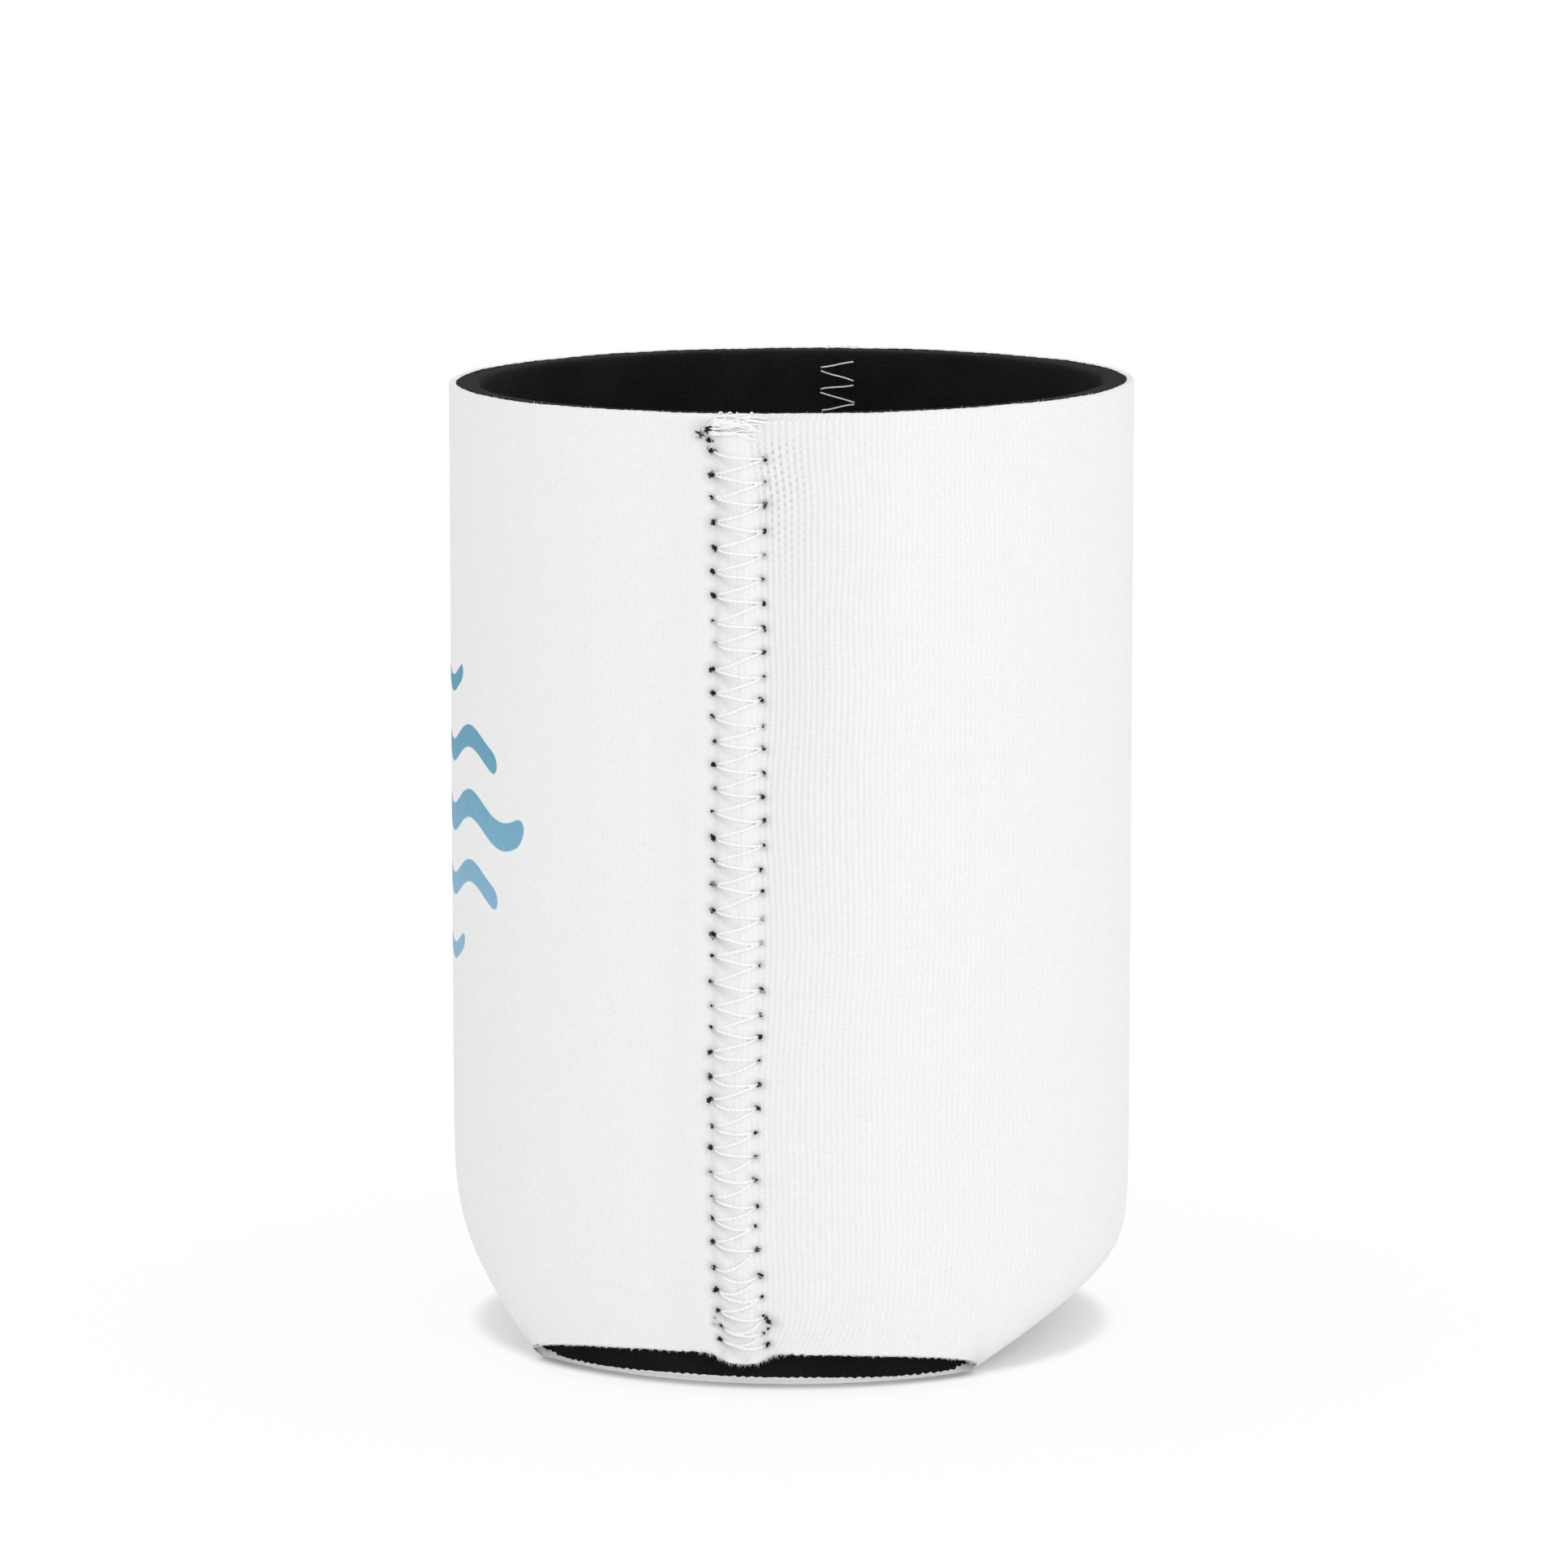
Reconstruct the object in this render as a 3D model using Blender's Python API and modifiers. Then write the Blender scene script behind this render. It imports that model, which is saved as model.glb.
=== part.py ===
"""A can cooler sleeve: one laminated blank, folded under the can and stitched up both sides.

The blank is a front panel, a floor and a back panel in one strip, joined by two creases. It is
white knit bonded to black foam. Its side edges butt together in two zigzag seams, on +X and -X.
The front panel faces -Y. The sleeve stands on its floor, open at the top.
"""

import math

import bmesh
import bpy

# Lengths are in metres and angles in degrees.
OUTER_RADIUS = 0.0364
HEIGHT = 0.1019
KNIT_THICKNESS = 0.0007
FOAM_THICKNESS = 0.0023
CLEARANCE = 0.0003

# The floor is a disc, a little inside the wall, whose front and back are folded up along two creases.
CREASE_REACH = 0.0238
CREASE_TURN = 44.3
FLOOR_SETBACK = 0.0038

# Above each crease the panel leans out, then bends up into the round wall.
# A lower softness exponent makes a longer, rounder bend.
LEAN = 60.0
BEND_EXPONENT = 9.0

# Between the ends of the creases the wall is only cut off, a little above the table.
# The bunched end of each seam hangs below that cut in a round tongue.
FOOT_HEIGHT = 0.0042
FOOT_POWER = 0.4
TONGUE_DROP = 0.0011
TONGUE_HALF_WIDTH = 0.0036

# The zigzag lockstitch: a needle thread outside, a bobbin thread inside.
SEAM_WIDTH = 0.0056
STITCH_PITCH = 0.0025
STITCH_TOP = 0.0022
STITCH_BOTTOM = 0.0062
STITCH_TURN = 0.00055
NEEDLE_THREAD_DIAMETER = 0.00036
BOBBIN_THREAD_DIAMETER = 0.00030

# How finely the strip is divided.
COLUMNS_OVER_TONGUE = 3
COLUMNS_OVER_FOOT = 6
COLUMNS_OVER_CREASE = 7
ROWS_IN_BEND = 9
ROWS_IN_WALL = 3
ROWS_IN_FLOOR = 5
BEND_TOP = 0.0180
ROW_SPREAD = 1.2
NEEDLE_THREAD_ROUNDNESS = 1
BOBBIN_THREAD_ROUNDNESS = 0
SHARP_ANGLE = 40.0
MERGE_DISTANCE = 0.00005

# Colours and roughness of the three materials.
WHITE_KNIT = (0.86, 0.86, 0.86, 1.0)
KNIT_ROUGHNESS = 0.85
BLACK_FOAM = (0.010, 0.010, 0.011, 1.0)
FOAM_ROUGHNESS = 0.80
WHITE_THREAD = (0.90, 0.90, 0.89, 1.0)
THREAD_ROUGHNESS = 0.55

FLOOR_RADIUS = OUTER_RADIUS - FLOOR_SETBACK
CREASE_END = math.radians(CREASE_TURN)
CREASE_COLUMN = COLUMNS_OVER_TONGUE + COLUMNS_OVER_FOOT
SEAM_EDGE = math.asin(CLEARANCE / 2 / OUTER_RADIUS)
TONGUE_EDGE = TONGUE_HALF_WIDTH / OUTER_RADIUS
WALL_THICKNESS = KNIT_THICKNESS + CLEARANCE + FOAM_THICKNESS


def wall_radius(turn, height, depth):
    """How far a face is from the axis, at an angle from a seam, a height and a depth in the wall.

    The wall is what a cylinder and two leaning planes have in common, with their meeting softened.
    """
    lean = math.radians(LEAN)
    reach = CREASE_REACH - depth / math.cos(lean) + height * math.tan(lean)
    plane = reach / math.sin(turn)
    cylinder = OUTER_RADIUS - depth
    return (plane**-BEND_EXPONENT + cylinder**-BEND_EXPONENT) ** (-1 / BEND_EXPONENT)


def lowest_height(turn, depth):
    """The wall's lower end: on the floor's fold along a crease, and a cut edge beside the seam."""
    if turn >= CREASE_END:
        return depth
    foot = FOOT_HEIGHT * (1 - (turn / CREASE_END) ** 2) ** FOOT_POWER
    tongue = TONGUE_DROP * max(1 - (turn / TONGUE_EDGE) ** 2, 0.0)
    return max(foot - tongue, depth + CLEARANCE)


def column_turns():
    """Angles from the seam on +X to the middle of the front panel, closest at the crease's end."""
    tongue = TONGUE_EDGE - SEAM_EDGE
    foot = CREASE_END - TONGUE_EDGE
    crease = math.pi / 2 - CREASE_END
    turns = [SEAM_EDGE + tongue * i / COLUMNS_OVER_TONGUE for i in range(COLUMNS_OVER_TONGUE)]
    quarter = math.pi / 2 / COLUMNS_OVER_FOOT
    turns += [TONGUE_EDGE + foot * math.sin(quarter * i) for i in range(COLUMNS_OVER_FOOT)]
    turns += [CREASE_END + crease * i / COLUMNS_OVER_CREASE for i in range(COLUMNS_OVER_CREASE + 1)]
    return turns


def row_heights():
    """Heights from the crease to the mouth, closest where the panel bends."""
    heights = [BEND_TOP * (i / ROWS_IN_BEND) ** ROW_SPREAD for i in range(ROWS_IN_BEND)]
    straight = HEIGHT - BEND_TOP
    heights += [BEND_TOP + straight * i / ROWS_IN_WALL for i in range(ROWS_IN_WALL + 1)]
    return heights


def wall_point(turn, height, depth):
    """A point of the front panel, with the heights near the table squeezed above its lower end."""
    lowest = lowest_height(turn, depth)
    height += lowest * max(1 - height / BEND_TOP, 0.0)
    radius = wall_radius(turn, height, depth)
    return (radius * math.cos(turn), -radius * math.sin(turn), height)


def floor_line(crease, share_in, depth):
    """Points across the floor, in from the crease by a share of the way to its middle."""
    turn = CREASE_END * (1 - share_in)
    radius = FLOOR_RADIUS
    if share_in < 1:
        radius = min(FLOOR_RADIUS, wall_radius(turn, depth, depth))
    end = crease[0]
    points = []
    for corner in crease:
        bow = (corner[1] - end[1]) * (1 - share_in)
        points.append((radius * math.cos(turn) * corner[0] / end[0], bow - radius * math.sin(turn), depth))
    return points


def face_rows(mesh, depth):
    """Rows of vertices over one face of a layer, as a list for the wall and a list for the floor."""
    turns = column_turns()
    wall = [[wall_point(turn, height, depth) for turn in turns] for height in row_heights()]
    crease = wall[0][CREASE_COLUMN:]
    floor = [floor_line(crease, row / ROWS_IN_FLOOR, depth) for row in range(1, ROWS_IN_FLOOR + 1)]
    wall = [[mesh.verts.new(point) for point in row] for row in wall]
    floor = [[mesh.verts.new(point) for point in row] for row in floor]
    return wall, [wall[0][CREASE_COLUMN:]] + floor


def cut_edge(wall, floor):
    """The die-cut edge of a face: along the mouth, down the seam, under the foot, round the floor."""
    mouth = wall[-1][:0:-1]
    seam = [row[0] for row in reversed(wall)]
    foot = wall[0][1:CREASE_COLUMN]
    return mouth + seam + foot + [row[0] for row in floor]


def fill_between(mesh, first, second):
    """A strip of faces between two lines of vertices."""
    for i in range(len(first) - 1):
        mesh.faces.new((first[i], second[i], second[i + 1], first[i + 1]))


def layer_quarter(outer_depth, inner_depth):
    """A layer from the seam to the middle of the front, and from the mouth to the middle of the floor."""
    mesh = bmesh.new()
    outer = face_rows(mesh, outer_depth)
    inner = face_rows(mesh, inner_depth)
    for rows in (outer[0], outer[1][::-1], inner[0][::-1], inner[1]):
        for low, high in zip(rows, rows[1:]):
            fill_between(mesh, low, high)
    fill_between(mesh, cut_edge(*inner), cut_edge(*outer))
    data = bpy.data.meshes.new("layer_quarter")
    mesh.to_mesh(data)
    mesh.free()
    return data


def plain_material(name, color, roughness):
    """A Principled material of one colour."""
    material = bpy.data.materials.new(name)
    material.use_nodes = True
    shader = material.node_tree.nodes["Principled BSDF"]
    shader.inputs["Base Color"].default_value = color
    shader.inputs["Roughness"].default_value = roughness
    shader.inputs["Metallic"].default_value = 0.0
    material.diffuse_color = color
    return material


def add_object(name, data, material, collection):
    """A named object in the sleeve's collection."""
    data.materials.append(material)
    part = bpy.data.objects.new(name, data)
    collection.objects.link(part)
    return part


def make_layer(name, depth, thickness, material, collection):
    """One layer of the blank, from depth below the outer face to depth plus thickness."""
    data = layer_quarter(depth, depth + thickness)
    data.shade_smooth()
    data.set_sharp_from_angle(angle=math.radians(SHARP_ANGLE))
    layer = add_object(name, data, material, collection)
    mirror = layer.modifiers.new("other_three_quarters", "MIRROR")
    mirror.use_axis = (True, True, False)
    mirror.merge_threshold = MERGE_DISTANCE
    facets = layer.modifiers.new("same_facets_in_each_layer", "TRIANGULATE")
    facets.quad_method = "FIXED"
    return layer


def stitch_path(face_radius):
    """A zigzag down a seam at one radius, with a short turn at each needle hole."""
    half_angle = SEAM_WIDTH / 2 / face_radius
    top = HEIGHT - STITCH_TOP
    legs = 2 * int((top - STITCH_BOTTOM) / STITCH_PITCH)
    points = []
    for leg in range(legs + 1):
        side = 1 if leg % 2 else -1
        height = top - leg * STITCH_PITCH / 2
        for step in (STITCH_TURN / 2, -STITCH_TURN / 2):
            angle = side * half_angle
            points.append((face_radius * math.cos(angle), face_radius * math.sin(angle), height + step))
    return points


def make_thread(name, path, diameter, roundness, turn, material, collection):
    """A thread laid along a path, on the seam at an angle round the axis."""
    data = bpy.data.curves.new(name, "CURVE")
    data.dimensions = "3D"
    data.bevel_depth = diameter / 2
    data.bevel_resolution = roundness
    data.use_fill_caps = True
    spline = data.splines.new("POLY")
    spline.points.add(len(path) - 1)
    for point, place in zip(spline.points, path):
        point.co = (*place, 1.0)
    thread = add_object(name, data, material, collection)
    thread.rotation_euler.z = turn
    return thread


def build_sleeve():
    """The two bonded layers and the four threads."""
    for old in list(bpy.data.objects):
        bpy.data.objects.remove(old)
    collection = bpy.data.collections.new("can_cooler_sleeve")
    bpy.context.scene.collection.children.link(collection)

    knit = plain_material("white_knit", WHITE_KNIT, KNIT_ROUGHNESS)
    foam = plain_material("black_foam", BLACK_FOAM, FOAM_ROUGHNESS)
    thread = plain_material("white_thread", WHITE_THREAD, THREAD_ROUGHNESS)

    make_layer("knit_face", 0.0, KNIT_THICKNESS, knit, collection)
    make_layer("foam_core", KNIT_THICKNESS + CLEARANCE, FOAM_THICKNESS, foam, collection)

    outside = OUTER_RADIUS + CLEARANCE + NEEDLE_THREAD_DIAMETER / 2
    inside = OUTER_RADIUS - WALL_THICKNESS - CLEARANCE - BOBBIN_THREAD_DIAMETER / 2
    needle = (stitch_path(outside), NEEDLE_THREAD_DIAMETER, NEEDLE_THREAD_ROUNDNESS)
    bobbin = (stitch_path(inside), BOBBIN_THREAD_DIAMETER, BOBBIN_THREAD_ROUNDNESS)
    for side, turn in (("right", 0.0), ("left", math.pi)):
        make_thread(f"needle_thread_{side}", *needle, turn, thread, collection)
        make_thread(f"bobbin_thread_{side}", *bobbin, turn, thread, collection)


build_sleeve()
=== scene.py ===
"""Looks of a can cooler sleeve: knit skin, foam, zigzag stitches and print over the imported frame.

Lengths of the sleeve are in millimetres until a mesh is written, and its angles are in radians.
The stage, the lights and the camera are in metres.
"""

import math

import bpy
import numpy as np
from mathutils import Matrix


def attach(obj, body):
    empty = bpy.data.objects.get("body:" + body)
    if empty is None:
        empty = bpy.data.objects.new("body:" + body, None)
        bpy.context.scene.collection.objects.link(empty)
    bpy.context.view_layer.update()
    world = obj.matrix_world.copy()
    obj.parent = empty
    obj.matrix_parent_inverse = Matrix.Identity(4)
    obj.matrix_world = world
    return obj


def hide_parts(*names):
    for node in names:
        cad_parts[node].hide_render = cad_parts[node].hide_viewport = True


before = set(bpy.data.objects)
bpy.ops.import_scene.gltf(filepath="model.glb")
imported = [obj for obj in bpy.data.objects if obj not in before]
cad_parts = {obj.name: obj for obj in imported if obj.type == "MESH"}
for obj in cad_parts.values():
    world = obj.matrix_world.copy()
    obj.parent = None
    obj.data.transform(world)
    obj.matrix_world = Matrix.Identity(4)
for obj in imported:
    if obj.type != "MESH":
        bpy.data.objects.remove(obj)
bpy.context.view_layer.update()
MM = 0.001

# The blank, as in the solids, with each panel's own crease, lean and bend.
RADIUS = 36.4
HEIGHT = 101.9
SKIN = 0.75
WALL = 3.3
FLOOR_RADIUS = 32.6
CREASE_TURN = math.radians(44.3)
FOOT_HEIGHT = 4.2
FOOT_POWER = 0.4
BEND_TOP = 18.0
FRONT = {"side": -1, "reach": 23.4, "lean": math.radians(49.0), "bend": 14.0}
BACK = {"side": 1, "reach": 23.2, "lean": math.radians(60.7), "bend": 11.2}
MOUTH_TILT = 0.19

# The stitches.
PITCH = 2.5
HOLE_OFFSET = 2.6
STITCH_TOP = 98.1
STITCH_BOTTOM = 6.2
THREAD = 0.30
TIGHT_STITCHES = np.array([2.2, 3.9, 5.2])

# The skin's relief across a seam: a ridge of gathered cloth, a gutter at each line of holes, and
# the slit between the panels.
SEAM_REACH = 9.0
RIDGE_RISE = 0.46
RIDGE_HALF_WIDTH = 1.75
RIDGE_POWER = 2.6
GUTTER_DEPTH = 0.24
GUTTER_WIDTH_INSIDE = 0.8
GUTTER_WIDTH_OUTSIDE = 2.6
SLIT_DEPTH = 0.03
SLIT_WIDTH = 0.2

# Upright bands of painted shade beside a seam, in its gutters and on the ridge's flank, where the
# stretched skin also lets grey through: place across it, width and weight.
PAINTED_SHADE_BANDS = ((-2.05, 0.45, 0.17), (2.4, 0.4, 0.05), (-5.2, 2.8, 0.055))

# How the thread pulls at the holes of each side: the hole's size, the slope, length and weight of
# the grey trail towards the seam, and the shift and size of the grey spot round the hole. Trail and
# spot are painted shade of the small wrinkles and the dimple, and partly foam seen through the
# skin.
PULL_LEFT = {"size": 1.08, "slope": 0.48, "length": 1.5, "weight": 1.0, "shift": 0.35, "spot": 0.82}
PULL_RIGHT = {"size": 1.0, "slope": 0.25, "length": 0.6, "weight": 0.6, "shift": 0.05, "spot": 0.62}
NO_HOLE = 9.0
HOLE_REACH = 3.4
DARK_SPOT_REACH = 3.0
LEG_REACH = 2.6

# How finely the visible skin is divided.
ROW_STEP = 0.3125
ROW_SPREAD = 1.15
EDGE_STEP = 0.30

# Places in a mesh's list of materials. The knit alone has the second and the third; the third is
# the knit painted lighter, for its cut edges in the shade under the wall.
FIRST_SLOT, FIBRE_SLOT, LIGHTENED_EDGE_SLOT = 0, 1, 2

HALF_PANEL = RADIUS * math.pi / 2
CREASE_REACHED = RADIUS * CREASE_TURN


def smooth_step(low, high, value):
    """0 below low, 1 above high, and a smooth rise between; it falls where low is the larger."""
    share = np.clip((value - low) / (high - low), 0.0, 1.0)
    return share * share * (3 - 2 * share)


def bell(value, width, power=2):
    """1 where a value is 0, falling smoothly to nothing a few widths away."""
    return np.exp(-((np.abs(value) / width) ** power))


def ripple(values, scale, seed, octaves=4):
    """Smooth repeatable noise from -1 to 1 along a line, with features about scale long."""
    rng = np.random.default_rng(seed)
    total = np.zeros_like(values, dtype=float)
    for octave in range(octaves):
        rate = 2 * math.pi / scale * 1.9**octave * rng.uniform(0.85, 1.15)
        total += np.sin(values * rate + rng.uniform(0, 2 * math.pi)) * 0.6**octave
    return total / 2.0


# The shape of the wall


def wall_radius(panel, fold, height, depth):
    """Distance of a face from the axis: a cylinder and a leaning plane, meeting softly."""
    reach = panel["reach"] - depth / math.cos(panel["lean"]) + height * math.tan(panel["lean"])
    plane = reach / np.maximum(np.sin(fold), 1e-4)
    power = panel["bend"]
    return (plane**-power + (RADIUS - depth) ** -power) ** (-1 / power)


def foot_height(fold, depth):
    """The lower end of the wall at an angle from the nearest seam."""
    share = np.clip(1 - (fold / CREASE_TURN) ** 2, 0.0, 1.0)
    foot = np.maximum(FOOT_HEIGHT * share**FOOT_POWER, depth + 0.05)
    return np.where(fold >= CREASE_TURN, depth, foot)


def seam_wander(height):
    """How far a seam strays sideways, in radians: it bows a little and steps back at the foot."""
    marks = (0.0, 6.5, 14.0, 23.0, 35.0, 48.0, 69.0, 102.0)
    strays = (1.0, 0.7, -0.5, -0.95, -0.75, -0.2, 0.0, 0.05)
    return np.radians(np.interp(height, marks, strays))


def mouth_tilt(y, height):
    """How much higher a point is because the mouth tilts a little from front to back."""
    return MOUTH_TILT * y / RADIUS * smooth_step(60.0, HEIGHT, height)


def place(panel, turn, height, depth, out=0.0):
    """Points of a panel, at angles from the +X seam, with the seams' stray and the mouth's tilt."""
    fold = np.minimum(turn, math.pi - turn)
    radius = wall_radius(panel, fold, height, depth) + out
    azimuth = panel["side"] * turn + seam_wander(height) * bell(fold * RADIUS, 12.0)
    y = radius * np.sin(azimuth)
    return np.stack([radius * np.cos(azimuth), y, height + mouth_tilt(y, height)], axis=-1)


# The needle holes and what the stitches do to the skin


def needle_holes(seed):
    """Heights of the holes left and right of a seam as seen from outside, from the top down."""
    rng = np.random.default_rng(seed)
    count = int((STITCH_TOP - STITCH_BOTTOM) / PITCH)
    left = STITCH_TOP - PITCH * np.arange(count) + rng.uniform(-0.16, 0.16, count)
    right = left - PITCH * 0.30 + rng.uniform(-0.14, 0.14, count)
    tight = left[-1] - TIGHT_STITCHES
    tight = tight[tight > FOOT_HEIGHT]
    return np.concatenate([left, tight]), np.concatenate([right, tight - 0.55])


def hole_spots(seed):
    """The place of each hole across and along a seam, alternating left and right."""
    rng = np.random.default_rng(seed + 50)
    left, right = needle_holes(seed)
    spots = []
    for high, low in zip(left, right):
        wide = HOLE_OFFSET + 0.12 * smooth_step(80.0, 96.0, high)
        wide -= 0.25 * smooth_step(40.0, 20.0, high)
        spots.append((-wide + rng.uniform(-0.16, 0.16), high))
        spots.append((wide + rng.uniform(-0.16, 0.16), low))
    return np.array(spots)


# Dark spots beside the holes: across, height and size. The first ones are torn places at the mouth,
# where the seam is sewn over, and the rest are at the foot; the last three, right of the seam, are
# a dark stroke and black painted shadow along the edge of the bunched ridge.
TEARS_AND_SHADOW_SPOTS = (
    (-3.15, 100.05, 1.75),
    (-2.75, 100.25, 1.1),
    (-4.0, 99.5, 0.9),
    (-3.6, 99.45, 0.75),
    (-4.35, 99.8, 0.45),
    (-3.0, 99.0, 1.1),
    (-2.4, 98.0, 0.6),
    (-2.8, 7.7, 0.5),
    (-2.35, 6.9, 0.6),
    (-2.95, 7.0, 0.45),
    # painted shadow: black spots along the edge of the bunched ridge at the foot
    (2.95, 7.4, 1.15),
    (2.75, 6.7, 0.55),
    (2.7, 5.1, 0.75),
)
SEAMS = {"right": {"seed": 3, "turn": 0.0}, "left": {"seed": 8, "turn": math.pi}}
for seam in SEAMS.values():
    seam["spots"] = hole_spots(seam["seed"])


def leg_sag(height):
    """How far a stitch hangs between its holes: more near the foot, where the skin is bunched."""
    return 0.10 + 0.55 * smooth_step(45.0, 8.0, height)


def press_hole(rng, across, height, spot, rise, hole_and_shadow, thin_and_shade):
    """Sinks the skin at a needle hole, and paints grey round it and along the thread's pull: shade
    and thin skin.
    """
    side, level = spot
    pull = PULL_LEFT if side < 0 else PULL_RIGHT
    size = rng.uniform(0.55, 1.1) * pull["size"]
    skew = rng.uniform(-0.5, 0.9)
    weight = rng.uniform(0.58, 1.0) * pull["weight"]
    near = (np.abs(across - side) < HOLE_REACH) & (np.abs(height - level) < HOLE_REACH)
    da = across[near] - side
    dz = height[near] - level
    reach = np.hypot(da * 0.92, dz + skew * da * 0.6) / size
    hole_and_shadow[near] = np.minimum(hole_and_shadow[near], reach)
    inward = da if side < 0 else -da
    trail = bell(dz + pull["slope"] * inward, 0.34 + 0.24 * np.clip(inward, 0, 3))
    trail *= smooth_step(-0.15, 0.25, inward) * np.exp(-np.maximum(inward, 0) / pull["length"])
    rise[near] -= 0.40 * bell(reach, 0.45) + 0.12 * bell(reach, 1.1)
    rise[near] -= 0.06 * trail
    around = np.hypot((inward - pull["shift"]) * 0.85, dz + skew * da * 0.5) / size
    # painted shade: the grey trail and the grey spot round the hole
    grey = np.maximum(weight * trail, 0.46 * bell(around, pull["spot"]))
    thin_and_shade[near] = np.maximum(thin_and_shade[near], grey)


def press_dark_spot(across, height, dark_spot, rise, hole_and_shadow, thin_and_shade):
    """Sinks the skin at a dark spot and paints it black with a grey rim; some spots are painted
    shadow.
    """
    side, level, size = dark_spot
    near = (np.abs(across - side) < DARK_SPOT_REACH) & (np.abs(height - level) < DARK_SPOT_REACH)
    reach = np.hypot((across[near] - side) * 0.8, (height[near] - level) * 1.15) / size
    rise[near] -= 0.30 * bell(reach, 0.45)
    hole_and_shadow[near] = np.minimum(hole_and_shadow[near], reach)
    thin_and_shade[near] = np.maximum(thin_and_shade[near], 0.45 * bell(reach, 0.75))


def press_leg(across, height, start, stop, rise, thin_and_shade):
    """The dent that a stitch leaves in the skin between two holes, and a painted shadow just below
    it.
    """
    level = (start[1] + stop[1]) / 2
    near = (np.abs(height - level) < LEG_REACH) & (np.abs(across) < HOLE_OFFSET + 0.3)
    share = np.clip((across[near] - start[0]) / (stop[0] - start[0]), 0, 1)
    lane = start[1] + (stop[1] - start[1]) * share - leg_sag(level) * 4 * share * (1 - share)
    gap = height[near] - lane
    rise[near] -= 0.09 * bell(gap, 0.20)
    rise[near] += 0.06 * bell(gap + 0.45, 0.30)
    # painted shadow in the skin just below the stitch
    shade = 0.11 * bell(gap + 0.22, 0.14) * smooth_step(0.0, 0.15, np.minimum(share, 1 - share))
    thin_and_shade[near] = np.maximum(thin_and_shade[near], shade)


def stitch_relief(seam, across, height):
    """Rise of the skin round a seam, distance to the nearest hole or dark spot, and painted grey of
    shade and thin skin.
    """
    offset = np.abs(across)
    below_mouth = smooth_step(HEIGHT, 99.0, height)
    rise = RIDGE_RISE * bell(offset, RIDGE_HALF_WIDTH, RIDGE_POWER) * (0.35 + 0.65 * below_mouth)
    gutter = np.where(offset > HOLE_OFFSET, GUTTER_WIDTH_OUTSIDE, GUTTER_WIDTH_INSIDE)
    rise -= GUTTER_DEPTH * bell(offset - HOLE_OFFSET, gutter) * (0.45 + 0.55 * below_mouth)
    rise -= SLIT_DEPTH * bell(across, SLIT_WIDTH)
    hole_and_shadow = np.full_like(rise, NO_HOLE)
    # painted shade in bands along the seam's gutters and the ridge's flank
    thin_and_shade = sum(weight * bell(across - middle, width) for middle, width, weight in PAINTED_SHADE_BANDS)
    rng = np.random.default_rng(seam["seed"] + 90)
    spots = seam["spots"]
    for spot in spots:
        press_hole(rng, across, height, spot, rise, hole_and_shadow, thin_and_shade)
    for dark_spot in TEARS_AND_SHADOW_SPOTS:
        press_dark_spot(across, height, dark_spot, rise, hole_and_shadow, thin_and_shade)
    for start, stop in zip(spots, spots[1:]):
        press_leg(across, height, start, stop, rise, thin_and_shade)
    return rise, hole_and_shadow, thin_and_shade


def tongue(across):
    """How far the bunched skin hangs below the foot at a seam."""
    return 1.10 * bell(across, 2.75, 4)


# Writing meshes


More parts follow.
